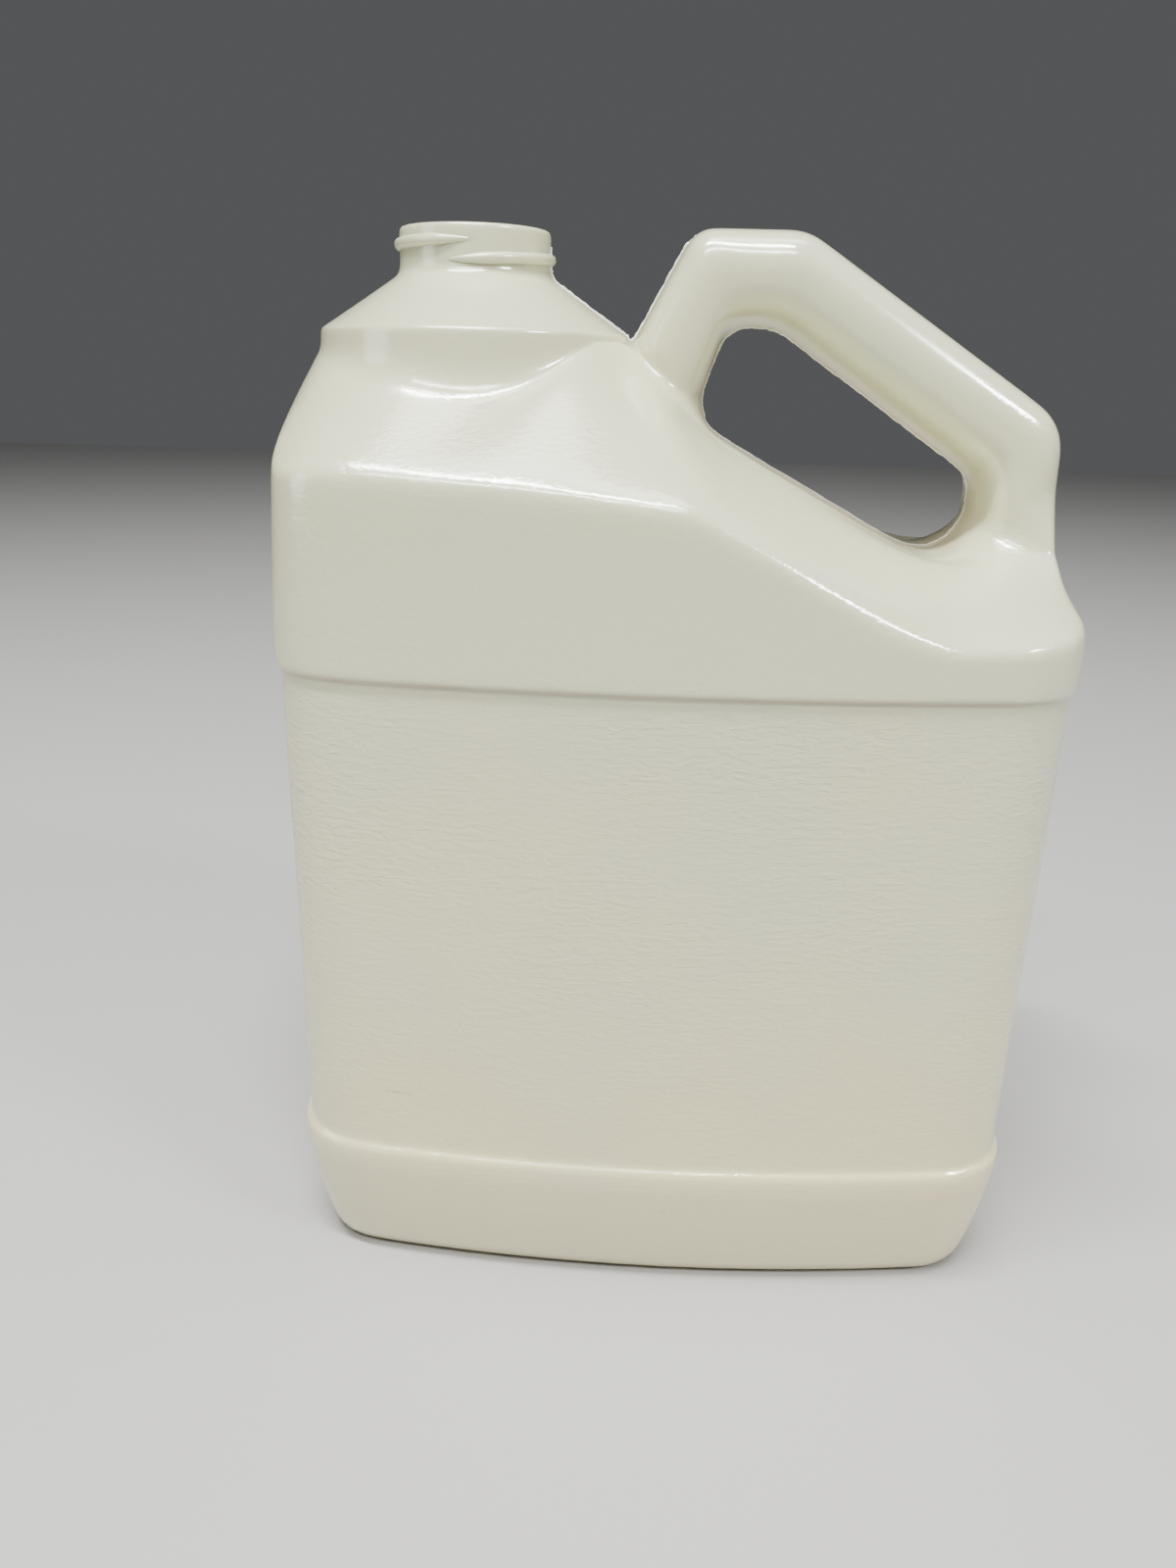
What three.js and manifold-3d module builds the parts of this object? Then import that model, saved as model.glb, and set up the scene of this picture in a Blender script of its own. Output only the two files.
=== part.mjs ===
import * as THREE from 'three';
import Module from 'manifold-3d';

const wasm = await Module();
wasm.setup();

// An empty handled jug of one US gallon, blow moulded in two halves that meet on the plane y = 0.
// Millimetres. x runs across the label panel towards the handle, y through the depth, z up.

// Body, seen from above
const BODY_WIDTH = 181;
const BODY_DEPTH = 117;
const CORNER_RADIUS = 19;
const FRONT_BOW_DEG = 8; // how far the bowed front has turned where its corner starts
const PANEL_INSET = 1.1; // the label panel lies this far behind the bumper and the shoulder

// Body, seen from the front
const BUMPER_TOP = 36;
const BEAD_HEIGHT = 156.2; // the thin bead above the panel
const SHOULDER_START = 162;
const LEFT_SHOULDER = 197.6; // sharp front edge of the high shoulder
const LEFT_SIDE_TOP = 219.5; // the same edge at the left parting line
const SLANT_START = 2; // x where the front edge turns down under the handle
const SLANT_END = 56;
const SLANT_DEG = 27.6;
// How far that edge lies below straight lines, by x
const EDGE_SAG = [[-91, 0], [-75, -1], [-62, -0.7], [-35, 0.7], [-8, 2.8], [27, 3], [53, 3.6],
  [67, 3], [80, 1.2], [91, 0]];
const SHOULDER_EDGE_RADIUS = 6.5;
const SIDE_LEAN = 2.7; // the left side of the shoulder leans in by this at its top
const SIDE_EDGE_START = -1.7; // place on the left corner where that edge starts to rise

// Underside and bumper, as rows of how far in and how high
const BASE_ROWS = [[15.2, 1.6], [13.2, 0], [10.2, 0], [8.2, 1.3], [5.9, 4.3], [4.3, 9.2], [2.2, 18],
  [0.7, 27]];

// Neck and the cone below it
const NECK_X = -48.4;
const NECK_RADIUS = 17.5;
const NECK_BASE = 239;
const RIM_HEIGHT = 248.6;
const CONE_RADIUS = 36.1;
const CONE_EDGE = 226.5;
// Height by column of the crease between the shoulder and the drum under the cone
const DRUM_CREASE = [[0, 223.2], [1, 222.4], [3, 220], [4, 218], [5, 216.4], [6, 215.2], [7, 215],
  [8, 217], [9, 222.6], [10, 224.8], [12, 225.6]];
const CONE_RINGS = [[CONE_RADIUS, CONE_EDGE - 0.1], [CONE_RADIUS - 1.4, CONE_EDGE + 1], [27.2, 232.5]];

// Screw thread of the neck
const THREAD_RADIUS = 18.55;
const THREAD_PITCH = 4.23;
const THREAD_TURNS = 1.09;
const THREAD_TOP = 245.9;
const THREAD_START_DEG = 281;
const THREAD_ROOT_WIDTH = 3;
const THREAD_CREST_WIDTH = 1.5;
const THREAD_TIP_SHARE = 0.4; // of those widths, at both ends
const THREAD_DRIFT = [[0, -0.75], [0.27, 0.3], [0.77, 0.1], [1.09, -0.4]]; // off its pitch, by turns
const THREAD_STEPS = 44;
const THREAD_TAPER_STEPS = 3;
const THREAD_SINK = 0.8; // how deep its root sits in the neck's wall

// Handle and hole, as corners of their outlines in the plane y = 0
const NOTCH = [-11.3, 226.2];
const HANDLE_TOP = 249.8;
const HANDLE_OUTLINE = [NOTCH, [1.6, HANDLE_TOP], [26.4, HANDLE_TOP], [87.9, 211], [88.5, 195]];
const HANDLE_RADII = [7, 14, 13];
const GRIP_OUTLINE = [[5.3, 214.2], [10.2, 229.2], [21.2, 229.2], [69.9, 197.6], [69.9, 189.6]];
const GRIP_RADII = [9, 12, 10];
const SILL_CORNERS = [[5.6, 207.6], [69.9, 173.4]];
const SILL_RADII = [9, 10];
const HANDLE_HALF_DEPTH = 17;
// How much wider the hole is at the faces of the handle than at the middle, by column
const HOLE_DRAFT = [[20, 2.7], [21, 1.6], [22, 0.8], [26, 0.8], [27, 1.8], [28, 2.7]];
const SECTION_OUTER = [[0.5, 9], [1.9, 14.2], [6.2, 16.9]]; // in from the outline, half depth
const SECTION_INNER = [[6.6, 16.6], [3, 13.4], [1.1, 7]];
const SECTION_MIDDLE = 17.3;

// Walls
const BODY_WALL = 0.9;
const NECK_WALL = 1.7;
const BORE_RINGS = [[1.6, 1.6], [0.4, 0.6], [0, 0], [0, 0], [0, 0]]; // wider and lower than the bore

// Columns of the mesh, counted round the front half from the left parting line to the right one
const NOTCH_COLUMN = 12;
const HOLE_LEFT = 20;
const HOLE_RIGHT = 28;
const LAST_COLUMN = 36;
const RELAX_PASSES = 12;
const LOWER_STOPS = [[0, -3], [2, -2], [5, -1], [12, -0.15], [20, 0.2], [22, 0.3], [25, 0.72],
  [28, 0.9], [31, 1], [34, 2], [36, 3]];
const EDGE_STOPS = [[0, -3], [2, -2], [5, -1], [12, -0.03], [20, 0.19], [22, 0.29], [25, 0.76],
  [28, 0.93], [31, 1], [34, 2], [36, 3]];
const SMOOTH_INSIDE = new Set([8, 10, 15, 16, 18, 20]); // rows of bumper and bead left out inside
const EDGE_RADII = [[0, 3], [2, 5], [5, SHOULDER_EDGE_RADIUS], [36, SHOULDER_EDGE_RADIUS]];

// Crease round the handle by column: down the riser's root to the hole, then round the foot
const ROOT_CREASE = [new THREE.Vector3(-11.2, 0, 223.8), new THREE.Vector3(4, 0, 206.9)];
const ROOT_CREASE_Y = [[12, -7], [13, -14], [14, -19], [16, -20.3], [20, -17.5]];
const FOOT_CREASE_X = [[28, 72.8], [31, 78], [34, 87.6], [36, 89.2]];
const FOOT_CREASE_Y = [[28, -17.5], [31, -19.5], [33, -20], [34, -19], [35, -11], [36, 0]];
const FOOT_CREASE_Z = [[28, 184.8], [31, 182], [36, 181.7]];
const CREASE_RADII = [[0, 10], [8, 10], [12, 4], [36, 4]];

// Fold between that crease and the front edge: share of the way out, and height over the chord
const FOLD_SHARE = [[0, 0.5], [7, 0.25], [9, 0.3], [12, 0.48], [14, 0.3], [20, 0.35], [28, 0.35],
  [31, 0.27], [34, 0.4], [36, 0.5]];
const FOLD_RISE = [[0, 0], [7, 0], [9, 2], [11, 3.4], [13, 2.2], [16, 0], [28, 0], [31, -2.2],
  [33, -3.2], [35, 0], [36, 0]];

const radians = THREE.MathUtils.degToRad;

// Value at x on the straight lines through the stops.
function interpolate(stops, x) {
  let i = 1;
  while (i < stops.length - 1 && x > stops[i][0]) {
    i += 1;
  }
  const [x0, y0] = stops[i - 1];
  const [x1, y1] = stops[i];
  return y0 + ((y1 - y0) * (x - x0)) / (x1 - x0);
}

// Zero below 0 and x above it, with a soft turn between.
function softHinge(x, softness) {
  return (x + Math.hypot(x, softness)) / 2;
}

// Point of the body outline. The place is -3 on the left parting line, -2 to -1 round the left
// corner, 1 to 2 round the right corner and 3 on the right parting line.
function outline(place, inset, z) {
  const radius = CORNER_RADIUS - inset;
  const bow = radians(FRONT_BOW_DEG);
  const reach = BODY_WIDTH / 2 - CORNER_RADIUS + radius * Math.sin(bow);
  const sag = (reach * Math.tan(bow)) / 2;
  const side = Math.sign(place) || 1;
  const far = Math.abs(place);
  const frontY = BODY_DEPTH / 2 - inset;
  if (far <= 1) {
    return new THREE.Vector3(place * reach, -(frontY - sag * place * place), z);
  }
  const centreY = frontY - sag - radius * Math.cos(bow);
  if (far <= 2) {
    const turn = bow + (Math.PI / 2 - bow) * (far - 1);
    const x = BODY_WIDTH / 2 - CORNER_RADIUS + radius * Math.sin(turn);
    return new THREE.Vector3(side * x, -(centreY + radius * Math.cos(turn)), z);
  }
  return new THREE.Vector3(side * (BODY_WIDTH / 2 - inset), -centreY * (3 - far), z);
}

// Points that round a corner between its two neighbours.
function roundCorner(before, corner, after, radius, count) {
  const toBefore = before.clone().sub(corner);
  const toAfter = after.clone().sub(corner);
  const room = 0.46 * Math.min(toBefore.length(), toAfter.length());
  toBefore.normalize();
  toAfter.normalize();
  const halfTurn = (Math.PI - toBefore.angleTo(toAfter)) / 2;
  const reach = Math.min(radius * Math.tan(halfTurn), room);
  const start = corner.clone().addScaledVector(toBefore, reach);
  const end = corner.clone().addScaledVector(toAfter, reach);
  const trueRadius = reach / Math.tan(halfTurn);
  const middle = toBefore.clone().add(toAfter).normalize();
  const centre = corner.clone().addScaledVector(middle, trueRadius / Math.cos(halfTurn));
  const points = [];
  for (let i = 0; i < count; i += 1) {
    const t = i / (count - 1);
    const a = Math.sin((1 - t) * 2 * halfTurn);
    const b = Math.sin(t * 2 * halfTurn);
    const arm = start.clone().sub(centre).multiplyScalar(a);
    arm.addScaledVector(end.clone().sub(centre), b).divideScalar(Math.sin(2 * halfTurn));
    points.push(centre.clone().add(arm));
  }
  return points;
}

function onPartingPlane([x, z]) {
  return new THREE.Vector3(x, 0, z);
}

// Stations along the handle on one of its outlines: legs of one, one, three and one point
// between the end points and three points round each corner.
function handlePath(corners, radii) {
  const places = corners.map(onPartingPlane);
  const legPoints = [1, 1, 3, 1];
  const path = [places[0]];
  for (let i = 1; i < places.length; i += 1) {
    const isLast = i === places.length - 1;
    const bend = isLast ? [places[i]]
      : roundCorner(places[i - 1], places[i], places[i + 1], radii[i - 1], 3);
    const from = path[path.length - 1];
    for (let j = 1; j <= legPoints[i - 1]; j += 1) {
      path.push(from.clone().lerp(bend[0], j / (legPoints[i - 1] + 1)));
    }
    path.push(...bend);
  }
  return path;
}

// The lower edge of the hole, from its left end to its right end.
function sillPath() {
  const [left, right] = SILL_CORNERS.map(onPartingPlane);
  const start = onPartingPlane(GRIP_OUTLINE[0]);
  const end = onPartingPlane(GRIP_OUTLINE[GRIP_OUTLINE.length - 1]);
  const leftBend = roundCorner(start, left, right, SILL_RADII[0], 3);
  const above = right.clone().setZ(right.z + 60);
  const rightBend = roundCorner(left, right, above, SILL_RADII[1], 4);
  const first = leftBend[2];
  const last = rightBend[0];
  return [
    start,
    leftBend[1],
    first,
    first.clone().lerp(last, 1 / 3),
    first.clone().lerp(last, 2 / 3),
    last,
    rightBend[1],
    rightBend[2],
    end,
  ];
}

// Half section of the handle between its outer and inner outline, nine points from one parting
// line over the front face to the other.
function handleSection(outer, inner) {
  const across = inner.clone().sub(outer);
  const thickness = across.length();
  across.normalize();
  const section = [outer];
  for (const [inset, depth] of [...SECTION_OUTER, [thickness / 2, SECTION_MIDDLE]]) {
    section.push(outer.clone().addScaledVector(across, inset).setY(-depth));
  }
  for (const [inset, depth] of SECTION_INNER) {
    section.push(inner.clone().addScaledVector(across, -inset).setY(-depth));
  }
  section.push(inner);
  return section;
}

// Direction in which the material lies at a point of the sill.
function awayFromHole(sill, index) {
  const before = sill[Math.max(index - 1, 0)];
  const after = sill[Math.min(index + 1, sill.length - 1)];
  const along = after.clone().sub(before).normalize();
  return new THREE.Vector3(along.z, 0, -along.x);
}

// Front edge of the shoulder as if it were sharp.
function shoulderEdge(column) {
  const place = interpolate(EDGE_STOPS, column);
  const point = outline(place, 0, 0);
  const slant = Math.tan(radians(SLANT_DEG));
  const drop = slant * (softHinge(point.x - SLANT_START, 6) - softHinge(point.x - SLANT_END, 8));
  let z = LEFT_SHOULDER - drop - interpolate(EDGE_SAG, point.x);
  if (place < SIDE_EDGE_START) {
    z += ((LEFT_SIDE_TOP - LEFT_SHOULDER) * (SIDE_EDGE_START - place)) / (SIDE_EDGE_START + 3);
  }
  point.x += SIDE_LEAN * THREE.MathUtils.clamp(-1 - place, 0, 1);
  return point.setZ(z);
}

// Point of the cone, the drum or the neck above a column.
function aroundNeck(column, radius, z) {
  const angle = Math.PI * (1 + column / NOTCH_COLUMN);
  const onPlane = column === 0 || column === NOTCH_COLUMN;
  const y = onPlane ? 0 : radius * Math.sin(angle);
  return new THREE.Vector3(NECK_X + radius * Math.cos(angle), y, z);
}

// The four lines that carry the shoulder: its sharp front edge, the fold half way up, the crease
// at the foot of what stands on it, and its upper border.
function shoulderColumn(column, root, foot, sill) {
  const edge = shoulderEdge(column);
  let crease;
  let top;
  if (column < NOTCH_COLUMN) {
    crease = aroundNeck(column, CONE_RADIUS + 0.3, interpolate(DRUM_CREASE, column));
    top = aroundNeck(column, CONE_RADIUS + 0.1, CONE_EDGE - 1.2);
  } else if (column <= HOLE_LEFT) {
    const share = (column - NOTCH_COLUMN) / (HOLE_LEFT + 1 - NOTCH_COLUMN);
    top = root[column - NOTCH_COLUMN];
    crease = ROOT_CREASE[0].clone().lerp(ROOT_CREASE[1], share);
    crease.setY(interpolate(ROOT_CREASE_Y, column));
  } else if (column < HOLE_RIGHT) {
    const index = column - HOLE_LEFT;
    top = sill[index];
    crease = top.clone().addScaledVector(awayFromHole(sill, index), interpolate(HOLE_DRAFT, column));
    crease.setY(-HANDLE_HALF_DEPTH);
  } else {
    top = foot[LAST_COLUMN - column];
    const stops = [FOOT_CREASE_X, FOOT_CREASE_Y, FOOT_CREASE_Z];
    crease = new THREE.Vector3(...stops.map((line) => interpolate(line, column)));
  }
  const fold = crease.clone().lerp(edge, interpolate(FOLD_SHARE, column));
  fold.z += interpolate(FOLD_RISE, column);
  return { edge, fold, crease, top };
}

// Rows of one column from the underside to the shoulder's upper border.
function bodyColumn(column, root, foot, sill) {
  const place = interpolate(LOWER_STOPS, column);
  const lowerRows = [
    ...BASE_ROWS,
    [0.05, BUMPER_TOP - 4],
    [0.2, BUMPER_TOP - 1.6],
    [0.8, BUMPER_TOP + 0.2],
    [PANEL_INSET, BUMPER_TOP + 2],
    [PANEL_INSET, BUMPER_TOP + 6],
    [PANEL_INSET, BUMPER_TOP + 60],
    [PANEL_INSET, BEAD_HEIGHT - 6],
    [PANEL_INSET + 0.2, BEAD_HEIGHT - 3.4],
    [PANEL_INSET, BEAD_HEIGHT - 2.2],
    [0.3, BEAD_HEIGHT - 1],
    [0, BEAD_HEIGHT],
    [0.3, BEAD_HEIGHT + 1],
    [0.05, BEAD_HEIGHT + 2.2],
    [0, SHOULDER_START],
  ];
  const rows = lowerRows.map(([inset, z]) => outline(place, inset, z));
  const { edge, fold, crease, top } = shoulderColumn(column, root, foot, sill);
  const start = rows[rows.length - 1];
  const edgeBend = roundCorner(start, edge, fold, interpolate(EDGE_RADII, column), 3);
  const creaseBend = roundCorner(fold, crease, top, interpolate(CREASE_RADII, column), 3);
  rows.push(start.clone().lerp(edgeBend[0], 0.5));
  rows.push(...edgeBend);
  rows.push(edgeBend[2].clone().lerp(fold, 0.5));
  rows.push(fold);
  rows.push(fold.clone().lerp(creaseBend[0], 0.5));
  rows.push(...creaseBend);
  rows.push(top);
  return rows;
}

function neckColumn(column) {
  const rings = [
    ...CONE_RINGS,
    [NECK_RADIUS + 2.6, NECK_BASE - 1.8],
    [NECK_RADIUS + 0.6, NECK_BASE + 0.2],
    [NECK_RADIUS, NECK_BASE + 2],
    [NECK_RADIUS, RIM_HEIGHT - 0.7],
    [NECK_RADIUS - 0.4, RIM_HEIGHT],
  ];
  return rings.map(([radius, z]) => aroundNeck(column, radius, z));
}

// Evens out the shoulder under the handle, where its slopes run into each other.
function relaxShoulder(body) {
  const lastRow = body[0].length - 1;
  for (let pass = 0; pass < RELAX_PASSES; pass += 1) {
    const before = body.map((rows) => rows.map((point) => point.clone()));
    for (let column = NOTCH_COLUMN; column < LAST_COLUMN - 2; column += 1) {
      for (let row = lastRow - 6; row < lastRow; row += 1) {
        const isSill = column > HOLE_LEFT + 1 && column < HOLE_RIGHT - 1;
        if (isSill && row > lastRow - 4) {
          continue;
        }
        const sideways = before[column - 1][row].clone().lerp(before[column + 1][row], 0.5);
        const upright = before[column][row - 1].clone().lerp(before[column][row + 1], 0.5);
        body[column][row].lerp(sideways, 0.5).lerp(upright, 0.12);
      }
    }
  }
}

// The outer skin's front half as three grids of points.
function frontHalf() {
  const outer = handlePath(HANDLE_OUTLINE, HANDLE_RADII);
  const inner = handlePath(GRIP_OUTLINE, GRIP_RADII);
  const handle = outer.map((point, i) => handleSection(point, inner[i]));
  const sill = sillPath();
  handle[0][8] = sill[0];
  handle[handle.length - 1][8] = sill[sill.length - 1];
  const body = [];
  for (let column = 0; column <= LAST_COLUMN; column += 1) {
    body.push(bodyColumn(column, handle[0], handle[handle.length - 1], sill));
  }
  relaxShoulder(body);
  const neck = [];
  for (let column = 0; column <= NOTCH_COLUMN; column += 1) {
    neck.push(neckColumn(column));
  }
  return { body, neck, handle };
}

// Quads of the half skin. The rows that a coarser copy keeps are given for the body.
function halfQuads({ body, neck, handle }, keepRow) {
  const quads = [];
  const rows = body[0].map((_, i) => i).filter(keepRow);
  const lastRow = body[0].length - 1;
  for (let column = 0; column < LAST_COLUMN; column += 1) {
    for (let i = 1; i < rows.length; i += 1) {
      const [low, high] = [rows[i - 1], rows[i]];
      const [left, right] = [body[column], body[column + 1]];
      quads.push([left[low], right[low], right[high], left[high]]);
    }
  }
  for (let column = 0; column < NOTCH_COLUMN; column += 1) {
    const left = [body[column][lastRow], ...neck[column]];
    const right = [body[column + 1][lastRow], ...neck[column + 1]];
    for (let row = 1; row < left.length; row += 1) {
      quads.push([left[row - 1], right[row - 1], right[row], left[row]]);
    }
  }
  for (let station = 1; station < handle.length; station += 1) {
    for (let i = 1; i < handle[0].length; i += 1) {
      const [a, b] = [handle[station - 1], handle[station]];
      quads.push([a[i - 1], a[i], b[i], b[i - 1]]);
    }
  }
  return quads;
}

// Outward direction at each point of the half skin; on the parting plane it lies in that plane.
function pointNormals(quads) {
  const normals = new Map();
  for (const quad of quads) {
    const across = quad[2].clone().sub(quad[0]);
    const normal = across.cross(quad[3].clone().sub(quad[1]));
    for (const point of quad) {
      const sum = normals.get(point) ?? new THREE.Vector3();
      normals.set(point, sum.add(normal));
    }
  }
  for (const [point, normal] of normals) {
    if (point.y === 0) {
      normal.y = 0;
    }
    normal.normalize();
  }
  return normals;
}

// The inner skin follows the outer one at the wall's thickness, with a straight bore in the neck.
function innerHalf(half) {
  const normals = pointNormals(halfQuads(half, () => true));
  const moved = new Map();
  const inset = (point, wall) => {
    if (!moved.has(point)) {
      moved.set(point, point.clone().addScaledVector(normals.get(point), -wall));
    }
    return moved.get(point);
  };
  const body = half.body.map((column) => column.map((point) => inset(point, BODY_WALL)));
  const handle = half.handle.map((station) => station.map((point) => inset(point, BODY_WALL)));
  const neck = half.neck.map((rows, column) => rows.map((point, row) => {
    if (row < CONE_RINGS.length) {
      return inset(point, BODY_WALL + (NECK_WALL - BODY_WALL) * (row / 4));
    }
    const [wider, lower] = BORE_RINGS[row - CONE_RINGS.length];
    return aroundNeck(column, NECK_RADIUS - NECK_WALL + wider, point.z - lower);
  }));
  return { body, neck, handle };
}

// Collects triangles of points and of their mirror images behind the parting plane.
class MirroredMesh {
  constructor() {
    this.positions = [];
    this.triangles = [];
    this.numbers = new Map();
  }

  number(point) {
    if (!this.numbers.has(point)) {
      const front = this.positions.length / 3;
      this.positions.push(point.x, point.y, point.z);
      let back = front;
      if (point.y !== 0) {
        back = front + 1;
        this.positions.push(point.x, -point.y, point.z);
      }
      this.numbers.set(point, [front, back]);
    }
    return this.numbers.get(point);
  }

  triangle(a, b, c) {
    const [fa, ba] = this.number(a);
    const [fb, bb] = this.number(b);
    const [fc, bc] = this.number(c);
    this.triangles.push(fa, fb, fc, ba, bc, bb);
  }

  quad([a, b, c, d]) {
    if (a.distanceTo(c) <= b.distanceTo(d)) {
      this.triangle(a, b, c);
      this.triangle(a, c, d);
    } else {
      this.triangle(a, b, d);
      this.triangle(b, c, d);
    }
  }

  solid() {
    return new wasm.Manifold(new wasm.Mesh({
      numProp: 3,
      vertProperties: new Float32Array(this.positions),
      triVerts: new Uint32Array(this.triangles),
    }));
  }
}

// Closes the flat underside inside the lowest row.
function closeUnderside(mesh, body, flip) {
  const ring = body.map((rows) => rows[0]);
  const contour = ring.map((point) => new THREE.Vector2(point.x, point.y));
  for (const [a, b, c] of THREE.ShapeUtils.triangulateShape(contour, [])) {
    if (flip) {
      mesh.triangle(ring[a], ring[b], ring[c]);
    } else {
      mesh.triangle(ring[a], ring[c], ring[b]);
    }
  }
}

// Hollow jug without its thread: two skins that meet at the rim of the neck.
function jugShell() {
  const half = frontHalf();
  const inner = innerHalf(half);
  const mesh = new MirroredMesh();
  halfQuads(half, () => true).forEach((quad) => mesh.quad(quad));
  halfQuads(inner, (row) => !SMOOTH_INSIDE.has(row)).forEach((quad) => mesh.quad(quad.reverse()));
  closeUnderside(mesh, half.body, false);
  closeUnderside(mesh, inner.body, true);
  const rim = half.neck[0].length - 1;
  for (let column = 0; column < NOTCH_COLUMN; column += 1) {
    const next = column + 1;
    const [outerRing, innerRing] = [half.neck, inner.neck];
    mesh.quad([outerRing[column][rim], outerRing[next][rim], innerRing[next][rim], innerRing[column][rim]]);
  }
  return mesh.solid();
}

// Right-hand thread: a ridge that winds down round the neck and sinks into it at both ends.
function threadRidge() {
  const mesh = new THREE.BufferGeometry();
  const positions = [];
  const triangles = [];
  const embedded = NECK_RADIUS - THREAD_SINK;
  for (let i = 0; i <= THREAD_STEPS; i += 1) {
    const turn = THREAD_TURNS * (i / THREAD_STEPS);
    const angle = radians(THREAD_START_DEG) - 2 * Math.PI * turn;
    const rise = Math.min(i, THREAD_STEPS - i, THREAD_TAPER_STEPS) / THREAD_TAPER_STEPS;
    const crest = THREE.MathUtils.lerp(NECK_RADIUS - 0.3, THREAD_RADIUS, rise);
    const centre = THREAD_TOP - THREAD_PITCH * turn + interpolate(THREAD_DRIFT, turn);
    const share = THREE.MathUtils.lerp(THREAD_TIP_SHARE, 1, rise) / 2;
    const section = [
      [embedded, -THREAD_ROOT_WIDTH * share],
      [crest, -THREAD_CREST_WIDTH * share],
      [crest, THREAD_CREST_WIDTH * share],
      [embedded, THREAD_ROOT_WIDTH * share],
    ];
    for (const [radius, height] of section) {
      positions.push(NECK_X + radius * Math.cos(angle), radius * Math.sin(angle), centre + height);
    }
  }
  for (let i = 0; i < THREAD_STEPS; i += 1) {
    for (let j = 0; j < 4; j += 1) {
      const [a, b] = [4 * i + j, 4 * i + ((j + 1) % 4)];
      triangles.push(a, b, b + 4, a, b + 4, a + 4);
    }
  }
  const last = 4 * THREAD_STEPS;
  triangles.push(0, 2, 1, 0, 3, 2, last, last + 1, last + 2, last, last + 2, last + 3);
  mesh.setAttribute('position', new THREE.Float32BufferAttribute(positions, 3));
  mesh.setIndex(triangles);
  return mesh;
}

function solidOf(geometry) {
  return new wasm.Manifold(new wasm.Mesh({
    numProp: 3,
    vertProperties: geometry.attributes.position.array,
    triVerts: new Uint32Array(geometry.index.array),
  }));
}

function geometryOf(solid) {
  const { vertProperties, triVerts } = solid.getMesh();
  const geometry = new THREE.BufferGeometry();
  geometry.setAttribute('position', new THREE.BufferAttribute(vertProperties, 3));
  geometry.setIndex(new THREE.BufferAttribute(triVerts, 1));
  geometry.computeVertexNormals();
  return geometry;
}

const whitePlastic = new THREE.MeshStandardMaterial({
  color: 0xe6e6df,
  roughness: 0.38,
  metalness: 0,
});
const jug = new THREE.Mesh(geometryOf(jugShell().add(solidOf(threadRidge()))), whitePlastic);
jug.name = 'jug';

const group = new THREE.Group();
group.add(jug);

export default group;
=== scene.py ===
import math
import random

import bmesh
import bpy
from mathutils import Matrix, Vector


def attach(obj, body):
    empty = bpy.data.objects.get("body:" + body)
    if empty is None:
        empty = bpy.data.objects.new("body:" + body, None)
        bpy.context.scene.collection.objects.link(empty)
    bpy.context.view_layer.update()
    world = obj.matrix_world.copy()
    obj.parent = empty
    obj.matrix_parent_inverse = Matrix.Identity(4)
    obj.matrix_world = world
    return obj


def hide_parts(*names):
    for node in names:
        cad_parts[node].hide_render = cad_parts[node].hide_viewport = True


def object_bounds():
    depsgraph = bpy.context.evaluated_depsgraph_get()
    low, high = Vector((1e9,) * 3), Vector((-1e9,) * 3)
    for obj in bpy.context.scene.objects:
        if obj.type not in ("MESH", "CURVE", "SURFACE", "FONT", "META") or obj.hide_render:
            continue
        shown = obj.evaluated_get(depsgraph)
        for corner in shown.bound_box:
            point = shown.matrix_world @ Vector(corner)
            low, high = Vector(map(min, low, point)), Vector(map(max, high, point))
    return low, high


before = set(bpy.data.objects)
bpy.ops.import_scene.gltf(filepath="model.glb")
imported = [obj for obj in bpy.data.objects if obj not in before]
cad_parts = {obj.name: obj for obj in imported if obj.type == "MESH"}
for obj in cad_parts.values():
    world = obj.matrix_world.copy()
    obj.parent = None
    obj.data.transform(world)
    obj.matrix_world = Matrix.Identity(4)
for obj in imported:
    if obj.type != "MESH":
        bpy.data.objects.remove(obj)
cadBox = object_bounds()
mm = 0.001

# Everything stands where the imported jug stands. The sizes in the dictionaries are millimetres.


def useOnly(piece):
    bpy.ops.object.select_all(action="DESELECT")
    piece.select_set(True)
    bpy.context.view_layer.objects.active = piece


def editOnly(piece):
    useOnly(piece)
    bpy.ops.object.mode_set(mode="EDIT")
    bpy.ops.mesh.select_all(action="DESELECT")


def leaveEdit():
    bpy.ops.object.mode_set(mode="OBJECT")


# selects the corners, edges or faces of the piece in edit mode that pass the test
def pick(piece, kind, test):
    mesh = bmesh.from_edit_mesh(piece.data)
    for part in (mesh.verts, mesh.edges, mesh.faces):
        for item in part:
            item.select = False
    for item in getattr(mesh, kind):
        if test(item):
            item.select_set(True)
    bmesh.update_edit_mesh(piece.data)


def joinPieces(first, *others):
    bpy.ops.object.select_all(action="DESELECT")
    for other in others:
        other.select_set(True)
    first.select_set(True)
    bpy.context.view_layer.objects.active = first
    bpy.ops.object.join()
    return first


def addModifier(piece, name, kind, **settings):
    useOnly(piece)
    modifier = piece.modifiers.new(name, kind)
    for key, value in settings.items():
        setattr(modifier, key, value)
    bpy.ops.object.modifier_apply(modifier=name)


# value at x on the straight lines through the stops
def along(stops, x):
    i = 1
    while i < len(stops) - 1 and x > stops[i][0]:
        i += 1
    (x0, y0), (x1, y1) = stops[i - 1], stops[i]
    return y0 + (y1 - y0) * (x - x0) / (x1 - x0)


def softHinge(x, softness):
    return (x + math.hypot(x, softness)) / 2


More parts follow.
